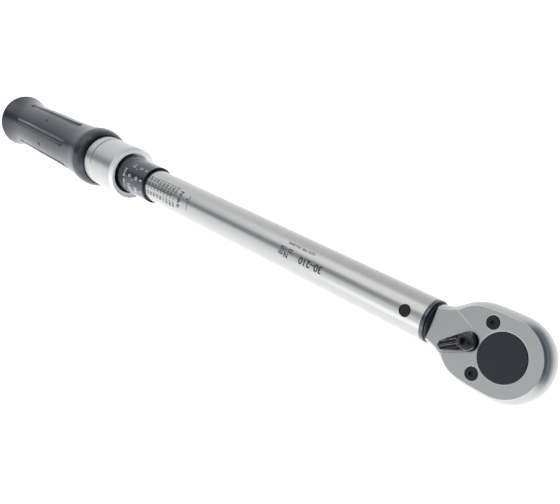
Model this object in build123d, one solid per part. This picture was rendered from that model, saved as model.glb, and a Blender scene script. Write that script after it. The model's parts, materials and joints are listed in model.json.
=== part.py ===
from build123d import *
import math
import os

# Half-inch-drive adjustable click torque wrench, in millimetres.
# Modelled about the tube axis: X along the tool with the head at +X, reversing lever
# on the +Z side. Export lifts it by AXIS_HEIGHT, so that the origin is the centre of
# the square drive's end face. "Front" is +X and "rear" is -X.

# ---------------------------------------------------------------- driving dimensions
AXIS_HEIGHT = 26.0       # tube axis above the drive end face
RUN = 0.05               # running clearance, radial

# tube
R_TUBE = 11.1            # 7/8 in tube
R_TUBE_IN = 9.2
X_TUBE_FRONT = -41.3
X_TUBE_REAR = -330.0

# head
Z_TOP = 8.65             # face of the cover plate
Z_BOTTOM = -9.45         # underside of the head
Z_MID = (Z_TOP + Z_BOTTOM) / 2
HALF_HEIGHT = (Z_TOP - Z_BOTTOM) / 2
Z_SEAT = 6.45            # cover plate seat
Z_FLAT = 7.9             # lever recess floor and neck flat
R_HEAD_MID = 20.5
R_HEAD_TOP = 18.1
X_PLATE = -31.0          # rear limit of the cover plate
X_PIN = -51.15           # pivot pin of the head in the tube
R_PIN = 3.2
X_ARM = -95.0            # rear face of the arm

# ratchet
R_TOOTH_TIP = 12.7
R_TOOTH_ROOT = 11.6
N_TEETH = 45
R_DISC = 11.25           # gear disc showing through the cover plate
R_MOUTH = 13.9           # the cover plate closes the gear pocket out to this radius
R_JOURNAL = 9.9
Z_JOURNAL = -10.3
SQUARE = 12.7            # 1/2 in drive
Z_DRIVE = -AXIS_HEIGHT
R_DRIVE_BALL = 1.9
X_DRIVE_BALL = SQUARE / 2 - 1.15
Z_DRIVE_BALL = Z_DRIVE + 7.6

# reversing lever
X_LEVER = -17.0          # pivot
Z_LEVER = Z_FLAT + 0.15  # underside
R_SPINDLE = 2.3
LEVER_DEG = 213.0        # rest direction of the lever arm, from +X
LEVER_THROW = 66.0
PAWL_THROW = LEVER_THROW * 0.12
LEVER_PLACE = Pos(X_LEVER, 0, 0) * Rot(0, 0, LEVER_DEG)

# cover and grub screws
COVER_SCREWS = [(-9.82, 12.51), (-9.82, -12.51)]  # (x, y)
Z_COVER_SCREW = Z_TOP - 1.5                       # underside of the screw heads
R_GRUB = 1.5

# click mechanism
X_BLOCK_FRONT = -95.1
X_BLOCK_REAR = -103.1
HALF_BLOCK = 3.5
R_TILT = 0.4             # rounded edge the toggle block rolls on
X_PLUNGER_FRONT = -103.2
X_PLUNGER_REAR = -117.0
X_SPRING_REAR = -282.0

# thrust bearing
X_SEAT_REAR = -287.0
X_WASHER_FRONT = -290.1
X_BALLS = (X_SEAT_REAR + X_WASHER_FRONT) / 2
R_BALL = 1.5
R_BALL_RING = 6.1
N_BALLS = 10

# adjusting screw and its fixed nut
PITCH = 3.5
R_SCREW = 6.0
R_SCREW_CORE = 5.2
R_SCREW_END = 4.0
HALF_FLATS = 3.3         # flats on the rear end of the screw
X_SCREW_FRONT = -292.2
X_FLATS = -440.0         # front end of the flats
X_NUT_FRONT = -312.0
X_NUT_REAR = -329.5
X_NUT_SCREWS = -321.0

# thimble and lock ring
X_THIMBLE_FRONT = -268.2
X_THIMBLE_REAR = -352.0
R_THIMBLE_FRONT = 12.73
R_THIMBLE_REAR = 13.2
R_BUSH = 12.1
X_RING_REAR = -338.0
R_RING = 18.3

# handle
X_NOSE = -334.4
R_CORE = 15.3
X_CORE_FRONT = -331.0
X_CORE_REAR = -459.0
X_WASHER_SEAT = -452.0
X_END = -468.6
FLUTE_Z = 20.0           # axis of the ball-ended flute cutter
R_FLUTE = 3.0
THIMBLE_SCREWS = [Rot(30 + 120 * k, 0, 0) * Pos(-347.0, 0, 0) for k in range(3)]

# Neck of the head, front to rear: (x, half-width at mid height, half-width at top)
NECK_STATIONS = [
    (-6.0, 20.5, 18.05), (-12.0, 20.3, 17.8), (-17.0, 19.8, 17.15), (-21.0, 18.7, 15.9),
    (-24.5, 17.1, 13.6), (-27.5, 14.9, 10.8), (-30.0, 12.7, 9.4), (-32.5, 11.2, 8.2),
    (-35.0, 10.45, 7.4), (-37.2, 10.05, 7.0)]

# Barrel of the grip, front to rear: (x, radius)
GRIP_CURVE = [
    (-341.5, 21.75), (-344.8, 22.0), (-348.5, 21.5), (-354.0, 20.6), (-361.9, 19.75),
    (-372.7, 19.0), (-384.0, 18.65), (-395.0, 18.5), (-407.0, 18.45), (-419.0, 18.3),
    (-431.3, 18.0), (-440.0, 17.85), (-446.5, 18.0), (-452.5, 18.6), (-458.0, 19.6),
    (-462.6, 20.75)]

ON_BASE = (Align.CENTER, Align.CENTER, Align.MIN)


# ---------------------------------------------------------------- helpers
def rev_x(profile):
    """Revolve (x, radius) points about X."""
    return revolve(make_face(Polyline(*[(x, r, 0) for x, r in profile], close=True)), Axis.X, 360)


def rev_z(profile, at=(0, 0)):
    """Revolve (radius, z) points about Z."""
    face = make_face(Polyline(*[(r, 0, z) for r, z in profile], close=True))
    return Pos(at[0], at[1], 0) * revolve(face, Axis.Z, 360)


def ring_x(r_in, r_out, x0, x1):
    return rev_x([(x0, r_in), (x0, r_out), (x1, r_out), (x1, r_in)])


def ring_z(r_in, r_out, z0, z1):
    return rev_z([(r_in, z0), (r_out, z0), (r_out, z1), (r_in, z1)])


def cyl_x(radius, x0, x1, y=0.0, z=0.0):
    rod = Cylinder(radius, abs(x1 - x0), align=ON_BASE)
    return Pos(min(x0, x1), y, z) * Rot(0, 90, 0) * rod


def cyl_z(radius, z0, z1, x=0.0, y=0.0):
    return Pos(x, y, min(z0, z1)) * Cylinder(radius, abs(z1 - z0), align=ON_BASE)


def tube_x(r_out, r_in, x0, x1):
    return cyl_x(r_out, x0, x1) - cyl_x(r_in, x0 - 1, x1 + 1)


def box(x0, x1, y0, y1, z0, z1):
    middle = Pos((x0 + x1) / 2, (y0 + y1) / 2, (z0 + z1) / 2)
    return middle * Box(abs(x1 - x0), abs(y1 - y0), abs(z1 - z0))


def prism(points, z0, z1):
    face = make_face(Polyline(*[(x, y, z0) for x, y in points], close=True))
    return extrude(face, amount=z1 - z0, dir=(0, 0, 1))


def mirrored(points):
    """Points on the +Y side, followed by their mirror images back to the start."""
    return points + [(x, -y) for x, y in reversed(points)]


def coil_x(x0, x1, radius, wire, turns):
    """Spring of wire radius `wire`; its helix stops one wire radius inside x0 and x1."""
    rise = x1 - x0 - 2 * wire
    path = Pos(0, 0, wire) * Helix(rise / turns, rise, radius)
    section = Plane(origin=path @ 0, z_dir=path % 0) * Circle(wire)
    return Pos(x0, 0, 0) * Rot(0, 90, 0) * sweep(section, path=path, is_frenet=True)


def toothed_prism(r_tip, r_root, z0, z1):
    points = []
    for i in range(N_TEETH):
        # tip and root corners, as fractions of a tooth step
        for r, part in ((r_tip, -0.1), (r_tip, 0.1), (r_root, 0.4), (r_root, 0.6)):
            angle = math.radians((i + part) * 360.0 / N_TEETH)
            points.append((r * math.cos(angle), r * math.sin(angle)))
    return prism(points, z0, z1)


def grub_screw(z0, z1, z_socket):
    return cyl_z(R_GRUB, z0, z1) - Pos(0, 0, z_socket) * extrude(RegularPolygon(0.85, 6), amount=3)


def solids_of(shapes):
    return Compound([solid for shape in shapes for solid in shape.solids()])


def largest(shape):
    return shape.solids().sort_by(SortBy.VOLUME)[-1]


# ---------------------------------------------------------------- head forging
def bulge(z):
    """1 at mid height, falling to 0 at the top and bottom faces."""
    return 1 - ((z - Z_MID) / HALF_HEIGHT) ** 2


def half_width(x, mid, top, z):
    """Barrelled side at the head, blending into a superellipse towards the neck."""
    blend = min(1.0, max(0.0, (-24.0 - x) / 10.0))
    blend = blend * blend * (3 - 2 * blend)
    barrel = top + (mid - top) * bulge(z)
    power = 2.6
    oval = mid * max(0.05, 1 - (abs(z) / 10.8) ** power) ** (1 / power)
    return (1 - blend) * barrel + blend * oval


def head_section(z):
    r = R_HEAD_TOP + (R_HEAD_MID - R_HEAD_TOP) * bulge(z)
    left = [(0, r, z)] + [(x, half_width(x, mid, top, z), z) for x, mid, top in NECK_STATIONS]
    right = [(x, -y, z) for x, y, z in reversed(left)]
    return make_face(Wire([
        ThreePointArc((0, -r, z), (r, 0, z), (0, r, z)),
        Spline(*left, tangents=[(-1, 0, 0), (-1, -0.08, 0)]),
        Line(left[-1], right[0]),
        Spline(*right, tangents=[(1, -0.08, 0), (1, 0, 0)])]))


def head_blank():
    levels = (Z_BOTTOM, -7.0, -3.7, Z_MID, 3.0, 6.0, Z_TOP)
    return loft([head_section(z) for z in levels])


def lever_sweep(z0, z1):
    """Area swept by the lever: rounded apex about its pivot, straight flanks."""
    r_apex = 5.3
    length = 24
    flank = math.radians(24.5)
    x = X_LEVER + r_apex * math.sin(flank)
    y = r_apex * math.cos(flank)
    outline = [(x, y), (x - length * math.cos(flank), y + length * math.sin(flank))]
    return prism(mirrored(outline), z0, z1) + cyl_z(r_apex, z0, z1, X_LEVER, 0)


def cover_zone():
    """Space of the cover plate, leaving the recess floor on the body."""
    floor = lever_sweep(Z_SEAT - 1, Z_FLAT) - cyl_z(R_MOUTH, 0, 12)
    return box(X_PLATE, 30, -30, 30, Z_SEAT, Z_TOP + 3) - floor


def head_body():
    body = head_blank() - cover_zone()
    # flats on the top and underside of the neck
    body -= box(-45, X_PLATE, -30, 30, Z_FLAT, Z_TOP + 3)
    body -= box(-45, -33.5, -30, 30, -12, -8.6)
    # arm inside the tube, with its pin hole and stepped seat bore
    body += rev_x([(-36, 0), (-36, 7.6), (-58, 7.6), (-60, 7.0), (-87, 7.0), (-88.2, 7.6),
                   (X_ARM, 7.6), (X_ARM, 0)])
    body -= cyl_z(R_PIN + RUN, -12, 12, X_PIN, 0)
    body -= cyl_x(5.0, X_ARM - 1, X_ARM + 4.5)
    body -= cyl_x(2.5, X_ARM - 1, X_ARM + 9.0)
    # gear pocket and journal bore
    body -= cyl_z(13.3, -6.0, Z_SEAT + 1)
    body -= cyl_z(R_JOURNAL + RUN, -12, 0)
    # pawl pocket
    pocket = mirrored([(-20.5, 4.2), (-16.0, 10.6), (-12.0, 10.4), (-8.0, 9.8)])
    body -= prism(pocket, -5.2, 6.0) + cyl_z(5.0, -5.2, 6.0, X_LEVER, 0)
    # spindle bore and clip counterbore
    body -= cyl_z(R_SPINDLE + RUN, -12, 12, X_LEVER, 0)
    body -= cyl_z(3.8, -12, -7.85, X_LEVER, 0)
    for x, y in COVER_SCREWS:
        body -= cyl_z(1.5, 0.0, Z_SEAT + 1, x, y)
    return body


def cover_plate():
    plate = (head_blank() & cover_zone()) - lever_sweep(Z_FLAT, Z_TOP + 2)
    r_bore = R_DISC + RUN
    plate -= cyl_z(r_bore, 0, 12)
    # chamfered mouth of the gear bore
    plate -= rev_z([(0, Z_TOP - 0.35), (r_bore, Z_TOP - 0.35), (r_bore + 0.45, Z_TOP + 0.1),
                    (0, Z_TOP + 0.1)])
    plate -= cyl_z(R_SPINDLE + RUN, 0, 12, X_LEVER, 0)
    for x, y in COVER_SCREWS:
        plate -= cyl_z(1.6, 0, 12, x, y) + cyl_z(3.3, Z_COVER_SCREW, 12, x, y)
    return plate


def cover_screws():
    """Low cylindrical heads with hexagon sockets."""
    screws = []
    for x, y in COVER_SCREWS:
        screw = rev_z([(0, 0.4), (1.2, 0.4), (1.5, 0.8), (1.5, Z_COVER_SCREW),
                       (3.2, Z_COVER_SCREW), (3.2, Z_TOP - 0.3), (2.95, Z_TOP - 0.05),
                       (0, Z_TOP - 0.05)], (x, y))
        screw -= Pos(x, y, Z_TOP - 1.15) * extrude(RegularPolygon(1.5, 6), amount=3)
        screws.append(screw)
    return solids_of(screws)


def arm_seat():
    """Hardened seat in the end of the arm."""
    return cyl_x(4.98, X_ARM, X_ARM + 4.4) + cyl_x(2.48, X_ARM + 4.4, X_ARM + 8.4)


# ---------------------------------------------------------------- ratchet and square drive
def ratchet_gear():
    gear = toothed_prism(R_TOOTH_TIP, R_TOOTH_ROOT, -5.9, 6.35)
    gear += rev_z([(0, 6.0), (R_DISC, 6.0), (R_DISC, Z_TOP - 0.3), (R_DISC - 0.3, Z_TOP),
                   (0, Z_TOP)])
    gear += rev_z([(0, -5.0), (R_JOURNAL, -5.0), (R_JOURNAL, Z_JOURNAL + 0.4),
                   (R_JOURNAL - 0.4, Z_JOURNAL), (0, Z_JOURNAL)])
    outline = RectangleRounded(SQUARE, SQUARE, 1.25)
    square = Pos(0, 0, Z_DRIVE) * extrude(outline, amount=Z_JOURNAL - Z_DRIVE + 1)
    gear += chamfer(square.faces().sort_by(Axis.Z)[0].edges(), 0.8)
    gear -= ring_z(9.0, 12, -8.4, -7.0)  # seal groove
    return gear - cyl_x(R_DRIVE_BALL + 0.05, -1.0, 8.0, 0, Z_DRIVE_BALL)


def gear_seal_ring():
    return ring_z(9.0, 9.93, -8.2, -7.2)


def drive_ball():
    return Pos(X_DRIVE_BALL, 0, Z_DRIVE_BALL) * Sphere(R_DRIVE_BALL)


def drive_ball_spring():
    wire = 0.25
    x_front = X_DRIVE_BALL - R_DRIVE_BALL + wire - 0.02
    return Pos(0, 0, Z_DRIVE_BALL) * coil_x(-0.95, x_front, radius=1.35, wire=wire, turns=5)


# ---------------------------------------------------------------- reversing lever
def lever_outline(z, r_hub, r_tip, length):
    """Hub circle and tip circle joined by their outer tangents, arm along +X."""
    reach = length - r_tip
    angle = math.acos((r_hub - r_tip) / reach)
    hub_x, hub_y = r_hub * math.cos(angle), r_hub * math.sin(angle)
    tip_x, tip_y = reach + r_tip * math.cos(angle), r_tip * math.sin(angle)
    return make_face(Wire([
        Line((hub_x, hub_y, z), (tip_x, tip_y, z)),
        ThreePointArc((tip_x, tip_y, z), (length, 0, z), (tip_x, -tip_y, z)),
        Line((tip_x, -tip_y, z), (hub_x, -hub_y, z)),
        ThreePointArc((hub_x, -hub_y, z), (-r_hub, 0, z), (hub_x, hub_y, z))]))


def reversing_lever():
    z_arm, z_hub = 10.4, 10.95  # tops of the arm and the hub
    lever = loft([lever_outline(Z_LEVER, 4.75, 2.65, 14.8), lever_outline(z_arm, 4.3, 2.3, 14.6)])
    lever += rev_z([(0, Z_LEVER + 0.5), (4.4, Z_LEVER + 0.5), (4.25, z_arm), (4.1, 10.75),
                    (3.8, z_hub), (0, z_hub)])
    lever -= Pos(0, 0, z_hub + 3.75) * Sphere(4.8)  # dished hub
    for y in (-1.15, 1.15):  # grooves along the arm
        lever -= cyl_x(0.75, 4.9, 16.0, y, 10.5)
    lever += cyl_z(R_SPINDLE, -9.1, Z_LEVER + 0.2)
    lever -= ring_z(1.6, 4, -8.5, -7.86)  # clip groove
    lever -= cyl_x(1.05, -1.2, 3.0)  # detent bore
    return LEVER_PLACE * lever


def lever_clip():
    return LEVER_PLACE * (ring_z(1.62, 3.3, -8.48, -7.88) - box(0, 5, -1.1, 1.1, -9, -7))


def lever_detent_ball():
    return LEVER_PLACE * Pos(2.0, 0, 0) * Sphere(1.0)


def lever_detent_spring():
    return LEVER_PLACE * coil_x(-1.18, 1.02, radius=0.7, wire=0.15, turns=4)


def pawl():
    """Double-ended rocker on the spindle, teeth clear of the gear tips."""
    def turned(shape, degrees):
        return Pos(X_LEVER, 0, 0) * Rot(0, 0, degrees) * Pos(-X_LEVER, 0, 0) * shape

    outline = mirrored([(-19.4, 3.2), (-14.6, 8.8), (-9.0, 8.8)])
    rocker = prism(outline, -5.1, 5.9) + cyl_z(4.2, -5.1, 5.9, X_LEVER, 0)
    rocker = turned(rocker, PAWL_THROW / 2)
    # teeth cut at both ends of the throw
    cutter = toothed_prism(R_TOOTH_TIP + 1.18, R_TOOTH_TIP + 0.08, -8, 8)
    rocker -= cutter
    rocker -= turned(cutter, PAWL_THROW)
    rocker -= cyl_z(R_SPINDLE + RUN, -8, 8, X_LEVER, 0)
    detent_sector = prism([(0, 0), (-2, 8), (-8, 8), (-8, -8), (-2, -8)], -2, 2)
    rocker -= Pos(X_LEVER, 0, 0) * (ring_z(0, 3.1, -1.15, 1.15) & detent_sector)
    return largest(rocker)


# ---------------------------------------------------------------- tube, pin, collar, nut
def nut_screw_bore():
    return Pos(X_NUT_SCREWS, 0, 0) * Rot(90, 0, 0) * Cylinder(R_GRUB, 40)


def outer_tube():
    tube = tube_x(R_TUBE, R_TUBE_IN, X_TUBE_REAR, X_TUBE_FRONT)
    tube -= cyl_z(R_PIN, -14, 14, X_PIN, 0)
    return tube - nut_screw_bore()


def pivot_pin():
    return rev_z([(0, -10.95), (2.8, -10.95), (R_PIN, -10.6), (R_PIN, 10.6), (2.8, 10.95),
                  (0, 10.95)], (X_PIN, 0))


def front_collar():
    return rev_x([
        (-47.2, 8.25), (-47.2, R_TUBE_IN), (X_TUBE_FRONT, R_TUBE_IN),
        (X_TUBE_FRONT, R_TUBE - 0.35), (X_TUBE_FRONT + 0.35, R_TUBE), (-39.6, R_TUBE),
        (-39.25, R_TUBE - 0.35), (-39.25, 9.0), (-38.3, 9.0), (-38.3, 8.25)])


def collar_wiper():
    return rev_x([
        (-39.25, 9.0), (-39.25, 10.15), (-39.0, 10.4), (-38.4, 10.4), (-37.85, 9.9),
        (-37.6, 9.1), (-37.55, 8.2), (-38.3, 8.2), (-38.3, 9.0)])


def load_nut():
    """Nut fixed in the rear of the tube by two grub screws."""
    return ring_x(R_SCREW + 0.1, R_TUBE_IN, X_NUT_FRONT, X_NUT_REAR) - nut_screw_bore()


def nut_grub_screws():
    screw = grub_screw(6.6, 10.8, z_socket=9.8)
    return solids_of([Pos(X_NUT_SCREWS, 0, 0) * Rot(turn, 0, 0) * screw for turn in (-90, 90)])


# ---------------------------------------------------------------- click mechanism
def toggle_block():
    h = HALF_BLOCK
    cube = box(X_BLOCK_REAR, X_BLOCK_FRONT, -h, h, -h, h)
    x_roll, y_roll = X_BLOCK_REAR + R_TILT, R_TILT - h
    block = cube - box(X_BLOCK_REAR - 1, x_roll, -h - 1, y_roll, -h - 1, h + 1)
    block += Pos(x_roll, y_roll, 0) * Cylinder(R_TILT, 2 * h)
    return block & chamfer(cube.edges().filter_by(Axis.X), 0.6)


def plunger():
    r_slide = R_TUBE_IN - RUN
    return rev_x([
        (X_PLUNGER_FRONT, 0), (X_PLUNGER_FRONT, 8.6), (X_PLUNGER_FRONT - 0.6, r_slide),
        (X_PLUNGER_REAR, r_slide), (X_PLUNGER_REAR, 4.4), (X_PLUNGER_REAR - 9, 4.4),
        (X_PLUNGER_REAR - 10, 3.6), (X_PLUNGER_REAR - 10, 0)])


def main_spring():
    """Coil made overlong, then cut flat at both ends."""
    extra, gap = 3.2, 0.02
    spring = coil_x(X_SPRING_REAR - extra, X_PLUNGER_REAR + extra, radius=6.9, wire=1.9, turns=21)
    spring = spring & box(X_SPRING_REAR + gap, X_PLUNGER_REAR - gap, -12, 12, -12, 12)
    return largest(spring)


# ---------------------------------------------------------------- thrust bearing
def ball_places():
    angles = [2 * math.pi * i / N_BALLS for i in range(N_BALLS)]
    return [(R_BALL_RING * math.cos(a), R_BALL_RING * math.sin(a)) for a in angles]


def spring_seat():
    return rev_x([
        (-272.0, 0), (-272.0, 3.6), (-273.0, 4.4), (X_SPRING_REAR, 4.4), (X_SPRING_REAR, 9.0),
        (X_SEAT_REAR, 9.0), (X_SEAT_REAR, 0)])


def thrust_balls():
    return solids_of([Pos(X_BALLS, y, z) * Sphere(R_BALL) for y, z in ball_places()])


def thrust_cage():
    cage = tube_x(8.4, 3.8, X_BALLS - 0.7, X_BALLS + 0.7)
    for y, z in ball_places():
        cage -= cyl_x(R_BALL + 0.1, -292, -285, y, z)
    return cage


def thrust_washer():
    return ring_x(2.2, 8.8, X_WASHER_FRONT, X_SCREW_FRONT)


def adjusting_screw():
    """Screw with separate ring-shaped ridges for its thread."""
    core = R_SCREW_CORE
    screw = rev_x([
        (-290.4, 0), (-290.4, 2.0), (X_SCREW_FRONT, 2.0), (X_SCREW_FRONT, core),
        (X_FLATS, core), (X_FLATS, R_SCREW_END), (-461.0, R_SCREW_END), (-461.6, 3.4),
        (-461.6, 0)])
    screw += tube_x(7.4, 4.5, X_FLATS, X_FLATS + 3.0)
    ridges = []
    x = -431.0
    while x < X_SCREW_FRONT - 3.0:
        ridges += [(x - 1.25, core), (x - 0.55, R_SCREW), (x + 0.55, R_SCREW), (x + 1.25, core)]
        x += PITCH
    x_end = X_SCREW_FRONT - 1.0
    screw += rev_x([(-433.0, 3.0), (-433.0, core)] + ridges + [(x_end, core), (x_end, 3.0)])
    screw -= box(-462, X_FLATS, HALF_FLATS, 6, -6, 6)
    return screw - box(-462, X_FLATS, -6, -HALF_FLATS, -6, 6)


# ---------------------------------------------------------------- handle
def handle_core():
    core = rev_x([
        (X_CORE_FRONT, R_THIMBLE_REAR), (X_CORE_FRONT, R_CORE), (X_CORE_REAR, R_CORE),
        (X_CORE_REAR, 9.5), (X_WASHER_SEAT, 9.5), (X_WASHER_SEAT, 0), (X_FLATS, 0),
        (X_FLATS, 8.0), (-366.0, 8.0), (-364.0, 11.6), (X_THIMBLE_REAR, 11.6),
        (X_THIMBLE_REAR, R_THIMBLE_REAR)])
    core -= cyl_x(R_SCREW_END, -455, -438) & box(-455, -438, -HALF_FLATS, HALF_FLATS, -6, 6)
    for place in THIMBLE_SCREWS:
        core -= place * cyl_z(R_GRUB, 12.5, 17)
    return core


def thimble_screws():
    screw = grub_screw(R_THIMBLE_REAR, 15.1, z_socket=14.2)
    return solids_of([place * screw for place in THIMBLE_SCREWS])


def grip():
    """Bell-mouthed front, waisted barrel, trumpet rear rim, six long flutes and six dimples."""
    nose = ThreePointArc((X_NOSE, 18.95, 0), (-337.6, 20.85, 0), (-341.5, 21.75, 0))
    barrel = Spline(*[(x, r, 0) for x, r in GRIP_CURVE])
    rim = ThreePointArc((-462.6, 20.75, 0), (-464.2, 21.0, 0), (-465.2, 20.0, 0))
    inside = Polyline(*[(x, r, 0) for x, r in [
        (-465.2, 20.0), (-465.2, 17.0), (-463.0, 17.0), (-463.0, R_CORE), (-346.0, R_CORE),
        (-346.0, 18.55), (X_NOSE - 0.4, 18.55), (X_NOSE, 18.95)]])
    outline = [*nose.edges(), *barrel.edges(), *rim.edges(), *inside.edges()]
    body = revolve(make_face(outline), Axis.X, 360)
    x_rear, x_front = -443.0, -368.5
    flute = cyl_x(R_FLUTE, x_rear, x_front, 0, FLUTE_Z)
    for x in (x_rear, x_front):
        flute += Pos(x, 0, FLUTE_Z) * Sphere(R_FLUTE)
    for k in range(6):
        body -= Rot(60 * k, 0, 0) * flute
        body -= Rot(60 * k + 30, 0, 0) * Pos(-403.0, 0, 19.8) * Sphere(2.0)
    return body


def screw_washer():
    return ring_x(4.2, 8.6, X_WASHER_SEAT, X_WASHER_SEAT - 1.2)


def screw_nut():
    nut = Pos(-459.2, 0, 0) * Rot(0, 90, 0) * extrude(RegularPolygon(7.5, 6), amount=5.95)
    return nut - cyl_x(R_SCREW_END + RUN, -462, -450)


def end_cap():
    return rev_x([
        (-461.9, 0), (-461.9, 9.0), (-459.4, 9.0), (-459.4, 13.4), (X_CORE_REAR, 13.4),
        (X_CORE_REAR, R_CORE), (-463.0, R_CORE), (-463.0, 17.0), (-466.2, 17.0),
        (-467.6, 15.4), (-468.3, 12.0), (X_END, 6.0), (X_END, 0)])


# ---------------------------------------------------------------- thimble and lock
def thimble():
    sleeve = rev_x([
        (X_THIMBLE_FRONT, 11.3), (X_THIMBLE_FRONT, 12.35),
        (X_THIMBLE_FRONT - 0.4, R_THIMBLE_FRONT), (-310.0, R_THIMBLE_REAR),
        (X_THIMBLE_REAR, R_THIMBLE_REAR), (X_THIMBLE_REAR, R_BUSH), (-322.0, R_BUSH),
        (-322.0, 11.3)])
    sleeve -= tube_x(15, 12.6, -311.95, -310.65)  # snap ring groove
    for k in range(3):  # windows for the lock shoes
        sleeve -= Rot(120 * k, 0, 0) * box(-317.4, -312.6, -3.0, 3.0, 9, 16)
    return sleeve


def lock_shoes():
    x_rear, x_front, r_in = -317.3, -312.7, R_TUBE + 0.05
    ring = rev_x([(x_rear, r_in), (x_rear, 13.2), (x_front, 13.5), (x_front, r_in)])
    shoe = ring & box(x_rear, x_front, -2.9, 2.9, 9, 16)
    return solids_of([Rot(120 * k, 0, 0) * shoe for k in range(3)])


def guide_bush():
    return tube_x(R_BUSH, R_TUBE + RUN, -336.0, -322.05)


def lock_snap_ring():
    return tube_x(14.2, 12.62, -311.9, -310.7) - box(-313, -309, -1.6, 1.6, 10, 16)


def lock_spring():
    return coil_x(-330.98, -318.02, radius=14.35, wire=0.7, turns=4)


def lock_ring():
    return rev_x([
        (-301.4, 16.2), (-301.4, 14.5), (-299.4, 14.5), (-299.0, 14.75), (-298.05, 16.6),
        (-297.8, 16.65), (-297.15, 17.75), (-297.2, 18.0), (-297.6, 18.2), (-302.0, R_RING),
        (-325.4, R_RING), (-325.7, R_RING - 0.4), (-326.3, R_RING - 0.4), (-326.6, R_RING),
        (X_RING_REAR + 0.5, R_RING), (X_RING_REAR, R_RING - 0.5), (X_RING_REAR, 16.4),
        (-318.0, 16.4), (-318.0, 13.28), (-317.35, 13.28), (-312.0, 13.68), (-312.0, 16.2)])


# ---------------------------------------------------------------- export
# Each file takes the name of its function.
PARTS = (
    head_body, cover_plate, cover_screws, arm_seat, ratchet_gear, gear_seal_ring, drive_ball,
    drive_ball_spring, reversing_lever, lever_clip, lever_detent_ball, lever_detent_spring,
    pawl, outer_tube, pivot_pin, front_collar, collar_wiper, load_nut, nut_grub_screws,
    toggle_block, plunger, main_spring, spring_seat, thrust_balls, thrust_cage, thrust_washer,
    adjusting_screw, handle_core, thimble_screws, grip, screw_washer, screw_nut, end_cap,
    thimble, lock_shoes, guide_bush, lock_snap_ring, lock_spring, lock_ring)

os.makedirs("parts", exist_ok=True)
for part in PARTS:
    export_step(Pos(0, 0, AXIS_HEIGHT) * part(), f"parts/{part.__name__}.step")
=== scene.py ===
"""A click-type torque wrench, lying along X above a white floor.

The head is at the +X end and the handle at the -X end. The tube's axis runs along X at
y = 0, z = AXIS_Z. Turned and moulded pieces are drawn in mm, as (x, radius from the axis).
"""
import bpy, bmesh, math, json
from mathutils import Vector, Matrix


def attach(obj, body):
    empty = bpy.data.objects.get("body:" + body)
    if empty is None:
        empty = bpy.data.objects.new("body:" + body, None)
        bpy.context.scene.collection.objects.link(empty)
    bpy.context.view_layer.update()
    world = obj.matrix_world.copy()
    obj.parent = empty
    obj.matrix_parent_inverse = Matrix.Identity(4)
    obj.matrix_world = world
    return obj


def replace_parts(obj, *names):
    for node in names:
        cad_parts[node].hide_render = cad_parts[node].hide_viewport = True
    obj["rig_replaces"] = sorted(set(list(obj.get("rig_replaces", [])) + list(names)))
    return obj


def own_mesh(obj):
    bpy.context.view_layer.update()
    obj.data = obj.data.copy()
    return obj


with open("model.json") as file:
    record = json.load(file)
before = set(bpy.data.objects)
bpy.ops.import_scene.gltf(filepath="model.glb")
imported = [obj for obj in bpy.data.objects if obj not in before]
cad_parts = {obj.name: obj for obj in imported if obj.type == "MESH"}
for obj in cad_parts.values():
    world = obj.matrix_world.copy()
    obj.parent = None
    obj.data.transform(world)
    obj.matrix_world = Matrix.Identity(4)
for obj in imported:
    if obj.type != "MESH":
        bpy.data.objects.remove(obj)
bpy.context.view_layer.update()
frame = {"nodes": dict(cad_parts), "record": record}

SCENE = bpy.context.scene
nodes = frame["nodes"]

# ------------------------------------------------------------------ driving sizes, mm
MM = 0.001               # one mm in metres
AXIS_Z = 26.0            # tube axis above the origin
TUBE_R = 11.1
TUBE_BORE = 9.2
TUBE_FRONT = -41.3
TUBE_BACK = -330.0
COLLAR_FRONT = -39.25
CROSS_HOLE_X = -51.15    # upright hole near the tube's front
PIN_HOLE_X = -321.0      # sideways hole near the tube's back
SMALL_HOLE_R = 1.52
CORE_R = 15.3            # handle core, and the bore of the grip
SCREW_PITCH = 3.5        # spacing of the tube's scale divisions
SHARP_DEG = 38           # edges steeper than this stay sharp


def on_axis(x):
    """The point of the tube axis at x mm, in metres."""
    return (x / 1000, 0, AXIS_Z * MM)


def around(x, radius, angle):
    """The point at x and radius mm, turned by angle from +Y towards +Z, in metres."""
    return (x * MM, radius * math.cos(angle) * MM, (AXIS_Z + radius * math.sin(angle)) * MM)


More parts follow.
